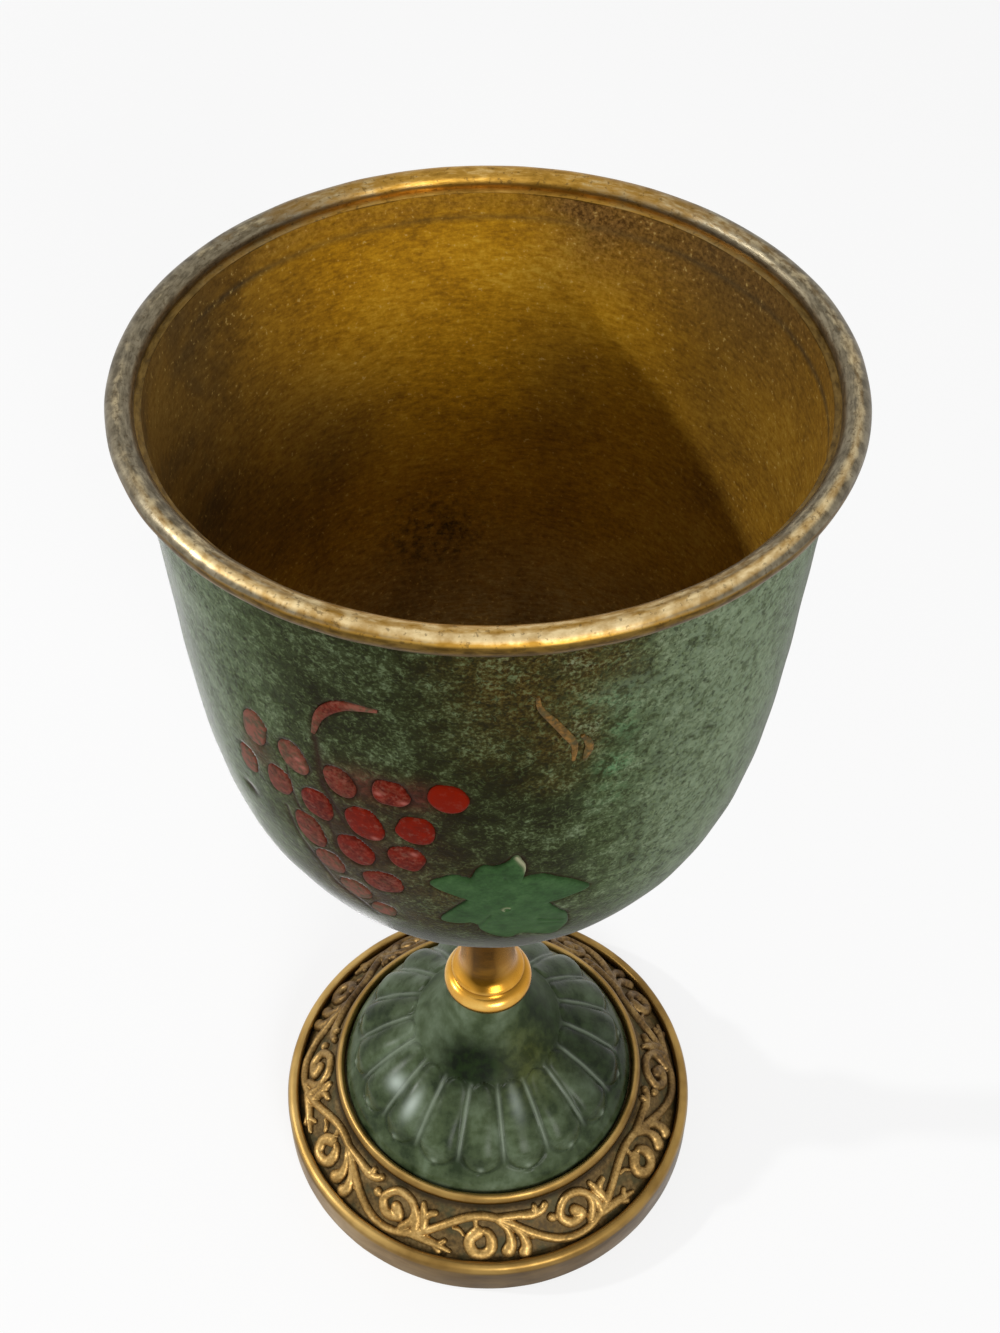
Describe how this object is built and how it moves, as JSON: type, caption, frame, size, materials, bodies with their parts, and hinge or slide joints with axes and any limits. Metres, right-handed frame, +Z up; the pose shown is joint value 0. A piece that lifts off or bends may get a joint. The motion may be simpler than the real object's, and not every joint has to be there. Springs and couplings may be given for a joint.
{
  "type": "goblet",
  "caption": "Brass goblet with a green patinated bowl set with red enamel grapes and a green leaf, a bare brass inside, a short turned stem and a petalled bell foot with a vine scroll border",
  "frame": {"origin": "middle of the foot's resting ring, on the table", "axes": "+Z up along the goblet's axis, the grapes and leaf face -Y, +X to the right seen from the front"},
  "size_m": [0.076, 0.076, 0.1488],
  "materials": {
    "green_patina": "mottled dark green patina over brass, satin, with rubbed highlights",
    "inner_brass": "bare golden brown brass with round brushed grain and dark specks",
    "worn_brass": "rubbed tan gold brass with darker stains",
    "polished_brass": "polished bright brass",
    "sunk_ground": "dark brown grey sunk ground with green tints",
    "red_enamel": "glossy translucent red enamel",
    "green_enamel": "satin green enamel",
    "steel": "plain steel hardware out of sight"
  },
  "bodies": {
    "root": {"bowl_shell": "green_patina", "bowl_liner": "inner_brass", "rim_ring": "worn_brass", "grape_01": "red_enamel", "grape_02": "red_enamel", "grape_03": "red_enamel", "grape_04": "red_enamel", "grape_05": "red_enamel", "grape_06": "red_enamel", "grape_07": "red_enamel", "grape_08": "red_enamel", "grape_09": "red_enamel", "grape_10": "red_enamel", "grape_11": "red_enamel", "grape_12": "red_enamel", "grape_13": "red_enamel", "grape_14": "red_enamel", "grape_15": "red_enamel", "grape_16": "red_enamel", "grape_17": "red_enamel", "grape_stalk": "red_enamel", "vine_leaf": "green_enamel", "tendril_long": "worn_brass", "tendril_short": "worn_brass", "bowl_boss": "polished_brass", "stem_collar": "polished_brass", "stem_knop": "polished_brass", "tie_stud": "steel", "foot_washer": "steel", "foot_nut": "steel", "foot_dome": "green_patina", "dome_bead": "worn_brass", "border_plate": "sunk_ground", "vine_scroll": "worn_brass", "foot_rim": "worn_brass"}
  },
  "joints": []
}
